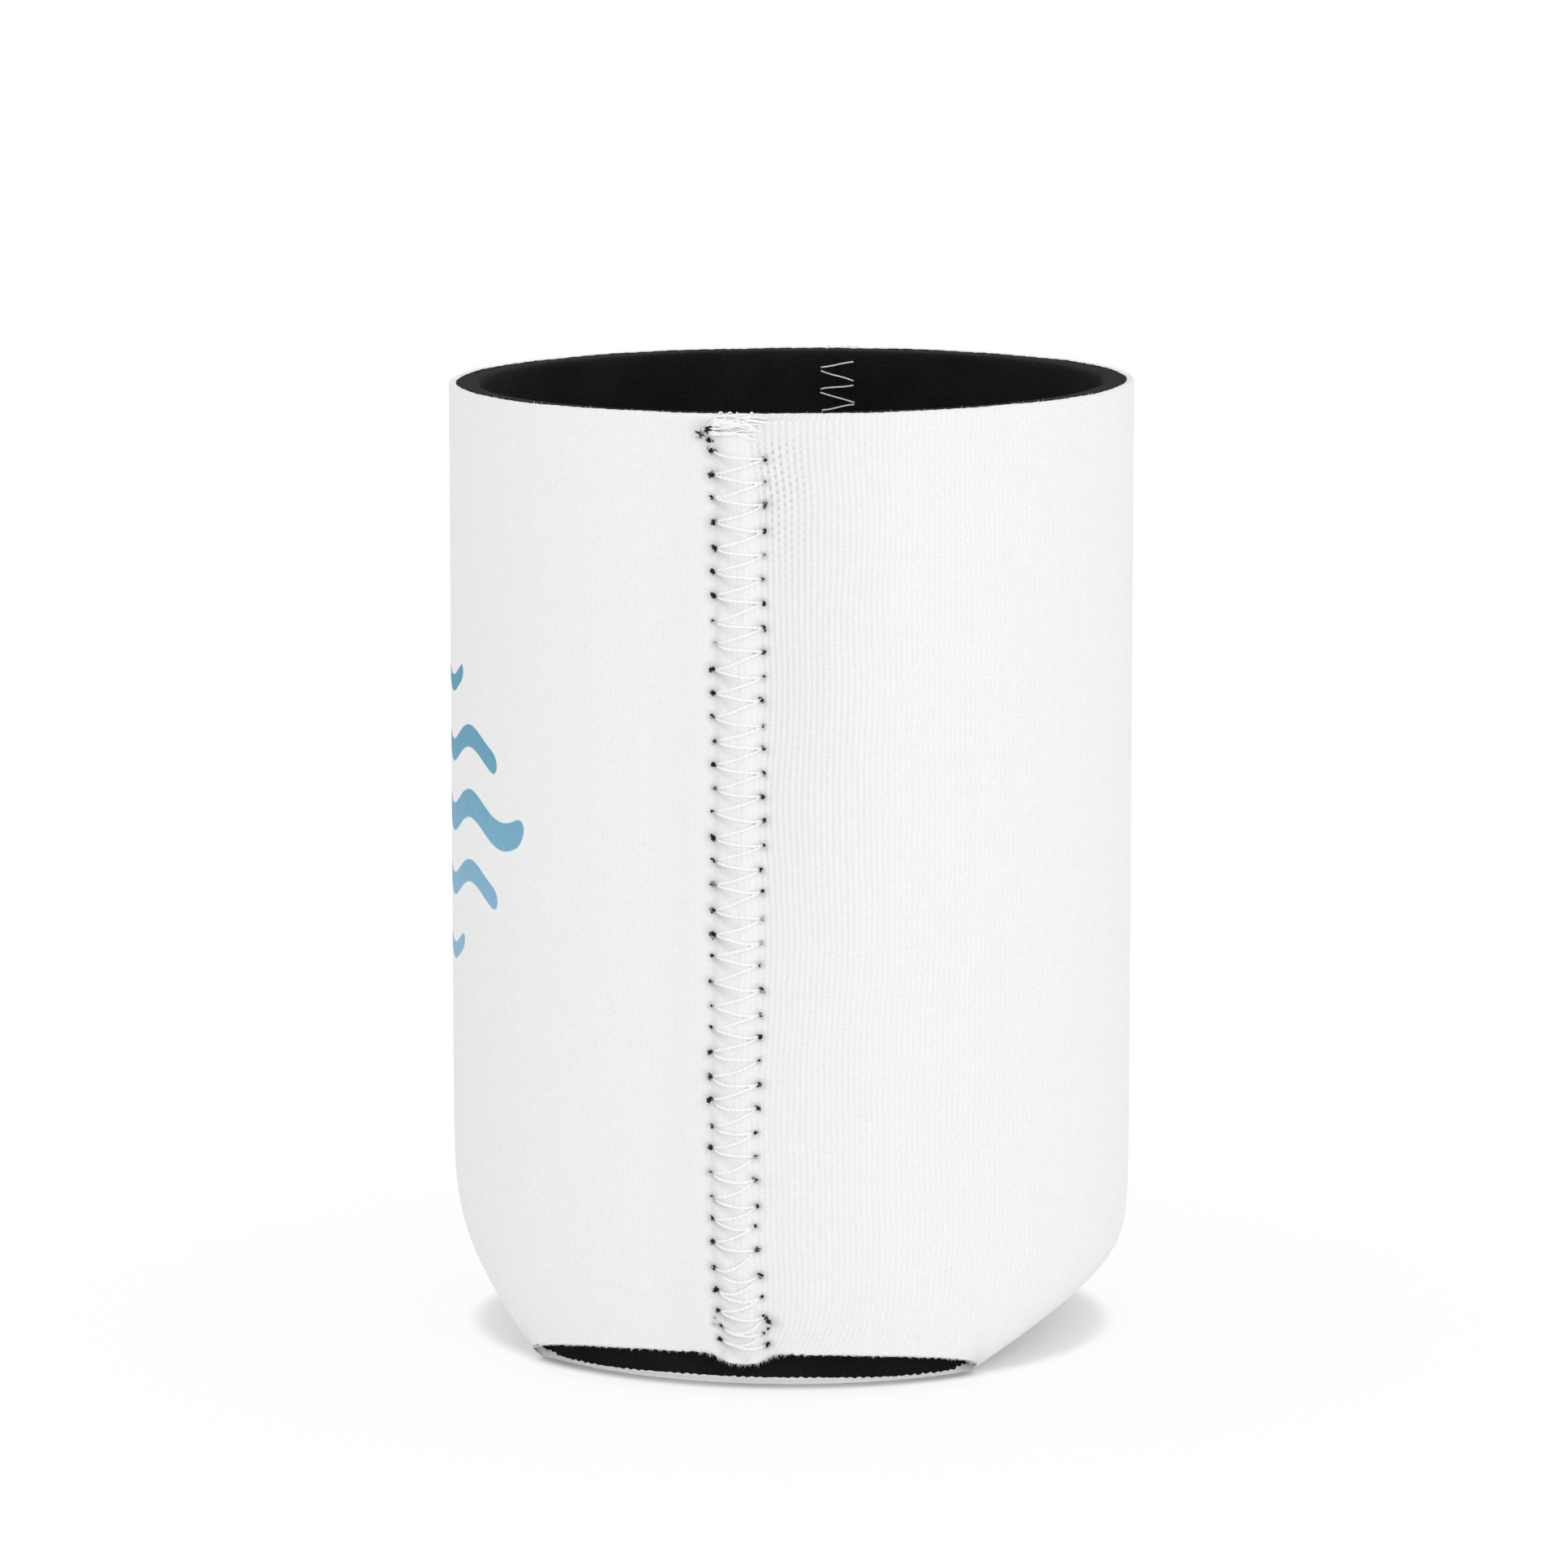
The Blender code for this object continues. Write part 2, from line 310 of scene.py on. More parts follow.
class Surface:
    """Vertices with their place in the cloth, and faces, gathered for one mesh."""

    def __init__(self):
        self.points = []
        self.cloth = []
        self.hole_and_shadow = []
        self.thin_and_shade = []
        self.faces = []
        self.slots = []
        self.count = 0

    def add(self, points, cloth=None, hole_and_shadow=None, thin_and_shade=None):
        """Adds vertices and gives their numbers, in the same array shape."""
        shape = points.shape[:-1]
        total = int(np.prod(shape))
        self.points.append(points.reshape(total, 3))
        self.cloth.append(np.zeros((total, 2)) if cloth is None else cloth.reshape(total, 2))
        self.hole_and_shadow.append(np.full(total, NO_HOLE) if hole_and_shadow is None else hole_and_shadow.reshape(total))
        self.thin_and_shade.append(np.zeros(total) if thin_and_shade is None else thin_and_shade.reshape(total))
        numbers = np.arange(self.count, self.count + total).reshape(shape)
        self.count += total
        return numbers

    def grid(self, numbers, flip=False, slot=FIRST_SLOT):
        """Quads over a table of vertices."""
        a, b = numbers[:-1, :-1], numbers[:-1, 1:]
        c, d = numbers[1:, 1:], numbers[1:, :-1]
        quads = np.stack([a, d, c, b] if flip else [a, b, c, d], axis=-1).reshape(-1, 4)
        self.faces.extend(quads.tolist())
        self.slots.extend([slot] * len(quads))

    def widen(self, coarse, fine, marks, flip=False):
        """Faces from a coarse line of vertices to a finer one.

        The marks are the places in the fine line of the coarse line's vertices.
        """
        for i in range(len(coarse) - 1):
            run = fine[marks[i] : marks[i + 1] + 1].tolist()
            face = [int(coarse[i]), *run, int(coarse[i + 1])]
            self.faces.append(face if flip else face[::-1])
            self.slots.append(FIRST_SLOT)

    def write(self, name, materials, node):
        """The finished object, which stands for a node of the frame."""
        data = bpy.data.meshes.new(name)
        points = np.concatenate(self.points) * MM
        data.from_pydata(points.tolist(), [], self.faces)
        for material in materials:
            data.materials.append(material)
        data.polygons.foreach_set("material_index", self.slots)
        corners = np.empty(len(data.loops), dtype=np.int32)
        data.loops.foreach_get("vertex_index", corners)
        layer = data.uv_layers.new(name="cloth")
        cloth = np.concatenate(self.cloth) * MM
        layer.uv.foreach_set("vector", cloth[corners].ravel())
        for label, values in (("hole_and_shadow", self.hole_and_shadow), ("thin_and_shade", self.thin_and_shade)):
            values = np.concatenate(values)
            if np.ptp(values) > 0:
                field = data.attributes.new(label, "FLOAT", "POINT")
                field.data.foreach_set("value", values)
        data.shade_smooth()
        data.validate()
        piece = bpy.data.objects.new(name, data)
        bpy.context.scene.collection.objects.link(piece)
        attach(piece, "root")
        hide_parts(node)
        return piece


# The columns and rows of a panel


def half_columns():
    """Distances from a seam to the middle of a panel: closest round the needle holes."""
    close = [0.0, 0.12, 0.30, 0.55, 0.85, 1.15, 1.45, 1.72, 1.95, 2.15, 2.32, 2.48, 2.64, 2.80]
    close += [2.96, 3.12, 3.28, 3.46, 3.68, 3.95, 4.3, 4.75, 5.3, 6.0, 6.9, 8.0]
    side = np.linspace(close[-1], CREASE_REACHED, 12)[1:]
    middle = np.linspace(CREASE_REACHED, HALF_PANEL, 15)[1:]
    return np.concatenate([close, side, middle])


def refine(line, step):
    """A line's values with more between them, and where the first ones are."""
    fine = [line[0]]
    marks = [0]
    for low, high in zip(line, line[1:]):
        parts = max(1, int(round((high - low) / step)))
        fine.extend(low + (high - low) * (i + 1) / parts for i in range(parts))
        marks.append(len(fine) - 1)
    return np.array(fine), np.array(marks)


def whole(half):
    """A panel's distances from the +X seam round to the -X seam."""
    return np.concatenate([half, 2 * HALF_PANEL - half[::-1][1:]])


COLUMNS = whole(half_columns())
EDGE_COLUMNS, EDGE_MARKS = refine(COLUMNS, EDGE_STEP)
CREASE_FIRST = int(np.argmin(np.abs(COLUMNS - CREASE_REACHED)))
CREASE_LAST = len(COLUMNS) - 1 - CREASE_FIRST


def cloth_across(panel, turn, height):
    """Distance along the cloth from a panel's middle, measured round the wall at each height."""
    steps = np.linspace(0, math.pi / 2, 241)
    heights = np.linspace(0.0, BEND_TOP + 8, 53)
    table = []
    for level in heights:
        radius = wall_radius(panel, steps, level, 0.0)
        x, y = radius * np.cos(steps), radius * np.sin(steps)
        length = np.concatenate([[0.0], np.cumsum(np.hypot(np.diff(x), np.diff(y)))])
        table.append(length[-1] - length)
    table = np.array(table)
    fold = np.minimum(turn, math.pi - turn)
    level = np.clip(height, 0, heights[-1]) / heights[-1] * (len(heights) - 1)
    low = np.clip(level.astype(int), 0, len(heights) - 2)
    share = level - low
    column = fold / steps[-1] * (len(steps) - 1)
    left = np.clip(column.astype(int), 0, len(steps) - 2)
    part = column - left
    value = (table[low, left] * (1 - part) + table[low, left + 1] * part) * (1 - share)
    value += (table[low + 1, left] * (1 - part) + table[low + 1, left + 1] * part) * share
    return np.where(turn < math.pi / 2, value, -value)


def cloth_along(panel, height):
    """Distance along the cloth from the middle of the floor, up the middle of a panel."""
    levels = np.linspace(0.0, HEIGHT, 409)
    radius = wall_radius(panel, math.pi / 2, levels, 0.0)
    length = np.concatenate([[0.0], np.cumsum(np.hypot(np.diff(radius), np.diff(levels)))])
    return panel["side"] * (panel["reach"] + np.interp(height, levels, length))


def nearest_seam(panel, distance):
    """Signed distance across the nearest seam as seen from outside, and which seam it is."""
    first = distance < HALF_PANEL
    across = np.where(first, panel["side"] * distance, -panel["side"] * (2 * HALF_PANEL - distance))
    return across, first


def skin_points(panel, distance, height):
    """Points of the outer face with the stitches' relief.

    They come with their place in the cloth, the distance to a dark spot, and the painted grey of
    shade and thin skin.
    """
    turn = distance / RADIUS
    across, first = nearest_seam(panel, distance)
    rise = np.zeros_like(distance)
    hole_and_shadow = np.full_like(distance, NO_HOLE)
    thin_and_shade = np.zeros_like(distance)
    for chosen, seam in ((first, SEAMS["right"]), (~first, SEAMS["left"])):
        part = chosen & (np.abs(across) < SEAM_REACH)
        rise[part], hole_and_shadow[part], thin_and_shade[part] = stitch_relief(seam, across[part], height[part])
    points = place(panel, turn, height, 0.0, rise)
    width = cloth_across(panel, turn, height)
    drawn = 1.5 * smooth_step(86.0, HEIGHT, height) * bell(across, 6.5)
    width -= np.sign(width) * drawn
    return points, np.stack([width, cloth_along(panel, height)], axis=-1), hole_and_shadow, thin_and_shade


# The knit skin


def row_heights():
    """Heights above a crease of the rows of a panel, up to the row below the mouth's edge."""
    bend = BEND_TOP * np.linspace(0, 1, int(BEND_TOP / ROW_STEP)) ** ROW_SPREAD
    wall = np.arange(BEND_TOP + ROW_STEP, HEIGHT - 0.5, ROW_STEP)
    return np.concatenate([bend, wall])


def level_of(distance, row, depth, drop):
    """Real heights of a row, with the rows near the table squeezed above the foot."""
    fold = np.minimum(distance, 2 * HALF_PANEL - distance) / RADIUS
    lowest = foot_height(fold, depth) - drop
    return row + lowest * np.maximum(1 - row / BEND_TOP, 0.0)


# Profiles of the skin's cut edges at the mouth and under the foot: depth and rise.
MOUTH_PROFILE = (
    (0.0, -0.28),
    (0.03, -0.14),
    (0.12, -0.04),
    (0.30, 0.0),
    (0.52, -0.02),
    (SKIN, -0.07),
)
FOOT_PROFILE = ((0.02, 0.0), (0.14, -0.10), (0.34, -0.14), (0.54, -0.10), (SKIN, -0.03))
MOUTH_DROP = 0.06


def mouth_rows(panel, profile, seed=31):
    """Points of the cut edge round the mouth, at each depth of a profile."""
    distance = EDGE_COLUMNS
    rows = []
    for depth, rise in profile:
        rough = 0.035 * ripple(distance + 300 * panel["side"], 1.7, seed + (depth >= SKIN))
        wave = 0.05 * ripple(distance + 120 * panel["side"], 23.0, seed + 5)
        bite = 0.0
        if depth == SKIN:
            bite = 0.09 * ripple(distance + 70 * panel["side"], 0.9, seed + 9)
        height = HEIGHT - MOUTH_DROP + rise + rough + wave
        rows.append(place(panel, distance / RADIUS, height, depth + bite))
    return rows


def turn_from(seam_side, fold):
    """Angles from the +X seam of places at angles from the seam on one side."""
    return fold if seam_side > 0 else math.pi - fold


def before_crease(half):
    """1 beside a seam, falling to 0 in the last 3 mm before the crease."""
    return smooth_step(CREASE_REACHED, CREASE_REACHED - 3, half)


def foot_line(panel, depth, rise, seed):
    """Distances and heights of the cut edge under the foot, from a seam to the crease's end."""
    half = EDGE_COLUMNS[EDGE_COLUMNS <= CREASE_REACHED + 1e-6]
    ragged = 0.10 + 0.16 * smooth_step(CREASE_REACHED - 6, CREASE_REACHED - 1, half)
    rough = ragged * ripple(half + 40 * panel["side"], 1.0, seed) * (half < CREASE_REACHED - 0.2)
    hang = tongue(half) * smooth_step(WALL, SKIN, depth)
    level = foot_height(half / RADIUS, depth) - hang + rise * before_crease(half)
    return half, level + rough


FIBRE_CORNERS = (0.0, 2.0944, 4.1888)


def add_fibres(surface, spots, seed=5):
    """Fine curved fibres at spots, each with an outward direction, as slim three-sided spikes."""
    rng = np.random.default_rng(seed)
    for point, outward, length in spots:
        outward = np.array(outward) / np.linalg.norm(outward)
        side = np.cross(outward, rng.normal(size=3))
        side /= np.linalg.norm(side)
        curl = np.cross(outward, side)
        bend = rng.uniform(-0.7, 0.7)
        rings = []
        for share in (0, 1 / 3, 2 / 3):
            middle = np.array(point) + outward * length * share + side * bend * length * share**2
            width = 0.022 * (1 - 0.75 * share)
            ring = [
                middle + width * (math.cos(angle) * side + math.sin(angle) * curl)
                for angle in FIBRE_CORNERS
            ]
            rings.append(surface.add(np.array(ring)))
        tip = surface.add(np.array([np.array(point) + outward * length + side * bend * length]))
        sides = ((0, 1), (1, 2), (2, 0))
        for low, high in zip(rings, rings[1:]):
            for i, j in sides:
                surface.faces.append([int(low[i]), int(low[j]), int(high[j]), int(high[i])])
        for i, j in sides:
            surface.faces.append([int(rings[-1][i]), int(rings[-1][j]), int(tip[0])])
        surface.slots.extend([FIBRE_SLOT] * len(sides) * len(rings))


def add_mouth_edge(surface, panel, top, rng):
    """The skin's thickness round the mouth; gives the spots of the fibres that stand on it."""
    turn = EDGE_COLUMNS / RADIUS
    flip = panel["side"] < 0
    edge = np.stack(mouth_rows(panel, MOUTH_PROFILE))
    width = cloth_across(panel, turn, np.full_like(turn, HEIGHT))
    length = np.full_like(turn, cloth_along(panel, HEIGHT - 0.3))
    cloth = np.broadcast_to(np.stack([width, length], axis=-1), edge.shape[:-1] + (2,))
    rim = surface.add(edge, cloth)
    surface.widen(top, rim[0], EDGE_MARKS, flip=flip)
    surface.grid(rim, flip=flip)
    fibres = []
    for column in rng.choice(len(EDGE_COLUMNS), 110, replace=False):
        angle = panel["side"] * turn[column]
        outward = (0.2 * math.cos(angle), 0.2 * math.sin(angle), 1.0)
        fibres.append((edge[2 + column % 2, column], outward, rng.uniform(0.10, 0.32)))
    return fibres


def add_foot_edge(surface, panel, seam_side, bottom, rng):
    """The skin's thickness under the foot beside a seam; gives the spots of its fibres."""
    rows = []
    for depth, rise in FOOT_PROFILE:
        half, level = foot_line(panel, depth, rise, 60 + seam_side)
        bite = 0.14 * ripple(half + 9 * seam_side, 0.8, 77) if depth == SKIN else 0.0
        rows.append(place(panel, turn_from(seam_side, half / RADIUS), level, depth + bite))
    edge = np.stack(rows)
    lip = surface.add(edge)
    coarse = bottom[: CREASE_FIRST + 1] if seam_side > 0 else bottom[CREASE_LAST:][::-1]
    flip = (panel["side"] > 0) == (seam_side > 0)
    surface.widen(coarse, lip[0], EDGE_MARKS[: CREASE_FIRST + 1], flip=flip)
    # the cut edge takes the knit painted lighter, against the shade under the wall
    surface.grid(lip, flip=flip, slot=LIGHTENED_EDGE_SLOT)
    fibres = []
    for column in rng.integers(0, edge.shape[1], 150):
        spot = edge[rng.integers(0, 4), column]
        outward = (spot[0] * 0.012, spot[1] * 0.012, -1.0)
        fibres.append((spot, outward, rng.uniform(0.10, 0.30)))
    # more and longer ones hang from the bunched end of the seam
    for column in rng.integers(0, 22, 90):
        spot = edge[rng.integers(0, 5), column]
        outward = (spot[0] * 0.02, rng.normal() * 0.5, -0.9)
        fibres.append((spot, outward, rng.uniform(0.22, 0.55)))
    return fibres


def build_knit(materials):
    """The skin: both walls with their relief, the floor, and the thickness at each cut edge."""
    surface = Surface()
    rng = np.random.default_rng(21)
    fibres = []
    for panel in (FRONT, BACK):
        distance, row = np.meshgrid(COLUMNS, row_heights())
        across, _ = nearest_seam(panel, distance)
        height = level_of(distance, row, 0.0, tongue(across))
        wall = surface.add(*skin_points(panel, distance, height))
        surface.grid(wall, flip=panel["side"] < 0)
        fibres += add_mouth_edge(surface, panel, wall[-1], rng)
        for seam_side in (1, -1):
            fibres += add_foot_edge(surface, panel, seam_side, wall[0], rng)
    add_floor(surface, 0.0, KNIT_ARC)
    add_fibres(surface, fibres)
    return surface.write("knit_cover", materials, "knit_face")


# The floor's rows from a crease to the middle, and the finer steps of its round edges.
FLOOR_SHARES = np.linspace(0, 1, 13)
FLOOR_STEP = 0.33
FLOOR_EDGE, FLOOR_MARKS = refine(FLOOR_SHARES * CREASE_REACHED, FLOOR_STEP)
FLOOR_EDGE = FLOOR_EDGE / CREASE_REACHED


def floor_arc(panel, share, depth):
    """Angle and radius of the floor's round edge, from the end of a crease to the seam."""
    turn = CREASE_TURN * (1 - share)
    radius = np.minimum(FLOOR_RADIUS, wall_radius(panel, np.maximum(turn, 1e-3), depth, depth))
    start = wall_radius(panel, CREASE_TURN, depth, depth)
    near = smooth_step(0.0, 0.10, share)
    return turn, radius * near + start * (1 - near)


def floor_table(panel, depth, shares, crease):
    """Points across the floor between its two round edges, in rows from a crease to the middle."""
    rows = []
    for share in shares:
        turn, radius = floor_arc(panel, share, depth)
        bow = (crease[:, 1] - crease[0, 1]) * (1 - share)
        x = radius * math.cos(turn) * crease[:, 0] / crease[0, 0]
        y = bow + panel["side"] * radius * math.sin(turn)
        rows.append(np.stack([x, y, np.full_like(x, depth)], axis=-1))
    return np.stack(rows)


def crease_line(panel, depth):
    """The fold between a panel and the floor at a depth."""
    turn = COLUMNS[CREASE_FIRST : CREASE_LAST + 1] / RADIUS
    return place(panel, turn, np.full_like(turn, depth), depth)


def arc_rows(panel, seam_side, profile):
    """Points of the floor's cut edge beside a seam, at each height of a profile."""
    seed = 140 + seam_side
    fade = smooth_step(0.0, 0.06, FLOOR_EDGE)
    rows = []
    for level, inset in profile:
        turn, radius = floor_arc(panel, FLOOR_EDGE, min(level, WALL))
        along = turn * FLOOR_RADIUS * panel["side"]
        rough = 0.06 * ripple(along + 30 * seam_side, 1.6, seed)
        bite = 0.0
        if level == SKIN:
            bite = (0.14 + 0.20 * bell(FLOOR_EDGE, 0.16)) * ripple(along, 0.9, seed + 4)
            bite += 0.28 * bell(FLOOR_EDGE - 0.05, 0.04) - 0.30 * smooth_step(0.8, 0.3, FLOOR_EDGE)
        reach = radius - (inset + rough) * fade
        x = seam_side * reach * np.cos(turn)
        y = panel["side"] * reach * np.sin(turn)
        rows.append(np.stack([x, y, level + bite * fade], axis=-1))
    return np.stack(rows)


# Profiles of the floor's round cut edges: height and inset.
KNIT_ARC = ((0.0, 0.10), (0.08, 0.0), (0.24, -0.02), (0.31, 0.14), (0.38, -0.02), (SKIN, 0.04))
FOAM_ARC = ((SKIN, 0.04), (1.1, 0.0), (1.7, -0.03), (2.4, 0.0), (2.95, 0.03), (WALL, 0.12))


def flat_cloth(points):
    """Place in the cloth of points of the floor, whose printed side faces down."""
    return np.stack([-points[..., 0], points[..., 1]], axis=-1)


def add_floor(surface, depth, profile):
    """The floor between the two creases, and the thickness at its round edges."""
    down = depth == 0.0
    for panel in (FRONT, BACK):
        table = floor_table(panel, depth, FLOOR_SHARES, crease_line(panel, depth))
        numbers = surface.add(table, flat_cloth(table))
        flip = (panel["side"] > 0) == down
        surface.grid(numbers[:, 1:-1], flip=flip)
        for seam_side in (1, -1):
            edge = arc_rows(panel, seam_side, profile)
            lip = surface.add(edge, flat_cloth(edge))
            inner = numbers[:, 1] if seam_side > 0 else numbers[:, -2]
            turned = flip if seam_side > 0 else not flip
            surface.widen(inner, lip[0] if down else lip[-1], FLOOR_MARKS, flip=turned)
            # on the knit, the round cut edge takes the knit painted lighter, against the shade
            # under the wall
            surface.grid(lip, flip=turned, slot=LIGHTENED_EDGE_SLOT if down else FIRST_SLOT)


# The foam


# Profiles of the foam's cut edges at the mouth and under the foot: depth and rise.
FOAM_MOUTH = (
    (SKIN, -0.07),
    (0.95, -0.13),
    (1.6, -0.10),
    (2.4, -0.11),
    (3.0, -0.16),
    (3.22, -0.34),
    (WALL, -0.7),
)
FOAM_FOOT = ((SKIN, -0.03), (1.2, 0.08), (2.2, 0.10), (2.9, 0.12), (3.2, 0.22))


# The columns of the foam's inside, closest at the slit of a seam, and its rows.
FOAM_SIDE = np.linspace(2.0, CREASE_REACHED, 13)
FOAM_MIDDLE = np.linspace(CREASE_REACHED, HALF_PANEL, 15)[1:]
FOAM_COLUMNS = whole(np.concatenate([[0.0, 0.10, 0.25, 0.6, 1.2], FOAM_SIDE, FOAM_MIDDLE]))
FOAM_BEND = BEND_TOP * np.linspace(0, 1, 25) ** ROW_SPREAD
FOAM_ROWS = np.concatenate([FOAM_BEND, np.linspace(BEND_TOP, HEIGHT - 1.3, 60)[1:]])


def build_foam(materials):
    """The foam: its inside face, the folds and floor, and the cut edges at mouth and foot."""
    surface = Surface()
    fine, marks = refine(FOAM_COLUMNS, EDGE_STEP)
    for panel in (FRONT, BACK):
        flip = panel["side"] > 0
        distance, row = np.meshgrid(FOAM_COLUMNS, FOAM_ROWS)
        height = level_of(distance, row, WALL, 0.0)
        across, _ = nearest_seam(panel, distance)
        rise = 0.22 * bell(across, 0.16) + 0.035 * np.sin(row * 0.9 + distance * 0.31)
        wall = surface.add(place(panel, distance / RADIUS, height, WALL, rise))
        surface.grid(wall, flip=flip)
        rim = surface.add(np.stack(foam_mouth(panel, fine)))
        surface.widen(wall[-1], rim[-1], marks, flip=flip)
        surface.grid(rim, flip=not flip)
        for seam_side in (1, -1):
            add_foam_foot(surface, panel, seam_side, wall[0], fine, marks)
    add_floor(surface, WALL, FOAM_ARC)
    return surface.write("foam_lining", materials, "foam_core")


def foam_mouth(panel, fine):
    """Points of the foam's cut edge round the mouth; its first row lies on the skin's last."""
    skin = mouth_rows(panel, FOAM_MOUTH[:1])[0]
    nearest = np.searchsorted(EDGE_COLUMNS, fine - 1e-6).clip(0, len(skin) - 1)
    rows = [skin[nearest]]
    for depth, rise in FOAM_MOUTH[1:]:
        rough = 0.045 * ripple(fine + 300 * panel["side"] + depth * 7, 1.1, 52)
        height = HEIGHT - MOUTH_DROP + rise + rough
        rows.append(place(panel, fine / RADIUS, height, depth))
    return rows


def add_foam_foot(surface, panel, seam_side, bottom, fine, marks):
    """The foam's cut edge under the foot, beside a seam."""
    first = int(np.argmin(np.abs(FOAM_COLUMNS - CREASE_REACHED)))
    half = fine[: marks[first] + 1]
    rows = []
    for depth, rise in FOAM_FOOT:
        rough = 0.05 * ripple(half + depth * 9, 1.2, 88 + seam_side) * (half < CREASE_REACHED - 0.2)
        hang = tongue(half) * smooth_step(WALL, SKIN, depth)
        level = foot_height(half / RADIUS, depth) - hang
        level += (rise + rough) * before_crease(half)
        rows.append(place(panel, turn_from(seam_side, half / RADIUS), level, depth))
    lip = surface.add(np.stack(rows))
    coarse = bottom[: first + 1] if seam_side > 0 else bottom[: -first - 2 : -1]
    flip = (panel["side"] > 0) == (seam_side > 0)
    surface.widen(coarse, lip[-1], marks[: first + 1], flip=not flip)
    surface.grid(lip, flip=flip)


# The threads


def beside_line(centres):
    """Two directions at right angles to a line, at each of its points."""
    steps = np.gradient(centres, axis=0)
    steps /= np.linalg.norm(steps, axis=1)[:, None]
    first = np.cross(steps, np.array([[0.31, 0.27, 0.91]]))
    first /= np.linalg.norm(first, axis=1)[:, None]
    return first, np.cross(steps, first)


def tube(surface, centres, radius, sides):
    """A closed tube along a line of points."""
    first, second = beside_line(centres)
    angles = np.linspace(0, 2 * math.pi, sides + 1)[:-1, None]
    ring = np.cos(angles) * first[:, None] + np.sin(angles) * second[:, None]
    numbers = surface.add(centres[:, None] + ring * radius)
    surface.grid(np.concatenate([numbers, numbers[:, :1]], axis=1))
    surface.faces.append(numbers[0].tolist())
    surface.faces.append(numbers[-1][::-1].tolist())
    surface.slots.extend([FIRST_SLOT, FIRST_SLOT])


def stitch_line(seam, outside):
    """Points along one thread of a seam: across, height and rise above the skin or the lining."""
    points = []
    spots = seam["spots"]
    if not outside:
        spots = np.concatenate([spots[:2] + (0.0, PITCH), spots])
    rng = np.random.default_rng(seam["seed"] + 7)
    shares = np.linspace(0, 1, 26)
    for start, end in zip(spots, spots[1:]):
        sag = leg_sag(start[1]) * rng.uniform(0.3, 1.7) * (1 if outside else 0.2)
        across = start[0] + (end[0] - start[0]) * shares
        height = start[1] + (end[1] - start[1]) * shares - sag * 4 * shares * (1 - shares)
        height += 0.10 * rng.uniform(-1, 1) * np.sin(2 * math.pi * shares)
        ends = np.minimum(shares, 1 - shares) * abs(end[0] - start[0])
        sink = bell(ends, 0.50) * 1.15
        if outside:
            sink += 0.34 * bell(across + HOLE_OFFSET, rng.uniform(0.9, 1.5))
        points.append(np.stack([across, height, -sink], axis=-1)[:-1])
    return np.concatenate(points)


def thread_centres(seam, line, outside):
    """A stitch line laid on the skin, or on the lining inside."""
    across, height, rise = line.T
    if outside:
        relief, _, _ = stitch_relief(seam, across, height)
        smooth = 0.44 * bell(across, RIDGE_HALF_WIDTH, RIDGE_POWER) - 0.05
        radius = RADIUS + (np.maximum(relief, smooth * 0.75) + THREAD * 0.34 + rise)
    else:
        radius = RADIUS - WALL - THREAD * 0.10 - rise * 0.8
    stray = seam_wander(height) * (1 if seam["turn"] == 0 else -1)
    azimuth = seam["turn"] + across / RADIUS + stray
    y = radius * np.sin(azimuth)
    return np.stack([radius * np.cos(azimuth), y, height + mouth_tilt(y, height)], axis=-1)


def twist(centres, offset, turns, phase):
    """A line wound round another, for one ply of a thread."""
    first, second = beside_line(centres)
    length = np.linalg.norm(np.diff(centres, axis=0), axis=1).cumsum()
    length = np.concatenate([[0], length])
    angle = (length * turns * 2 * math.pi + phase)[:, None]
    return centres + offset * (np.cos(angle) * first + np.sin(angle) * second)


def build_thread(name, seam, outside, material, node):
    """One thread of a seam: outside two twisted plies with a backtack, inside a plain one."""
    surface = Surface()
    centres = thread_centres(seam, stitch_line(seam, outside), outside)
    if outside:
        for phase in (0.0, math.pi):
            tube(surface, twist(centres, THREAD * 0.26, 0.9, phase), THREAD * 0.37, sides=6)
        add_backtack(surface, seam)
    else:
        tube(surface, centres, THREAD * 0.32, sides=5)
    return surface.write(name, [material], node)


def through(stations, count):
    """A smooth line through a few points."""
    stations = np.array(stations)
    before = 2 * stations[:1] - stations[1:2]
    after = 2 * stations[-1:] - stations[-2:-1]
    padded = np.concatenate([before, stations, after])
    line = []
    for a, b, c, d in zip(padded, padded[1:], padded[2:], padded[3:]):
        for share in np.linspace(0, 1, count, endpoint=False):
            bend = (2 * a - 5 * b + 4 * c - d) * share**2 + (3 * b - a - 3 * c + d) * share**3
            line.append(b + ((c - a) * share + bend) / 2)
    return np.array(line + [stations[-1]])


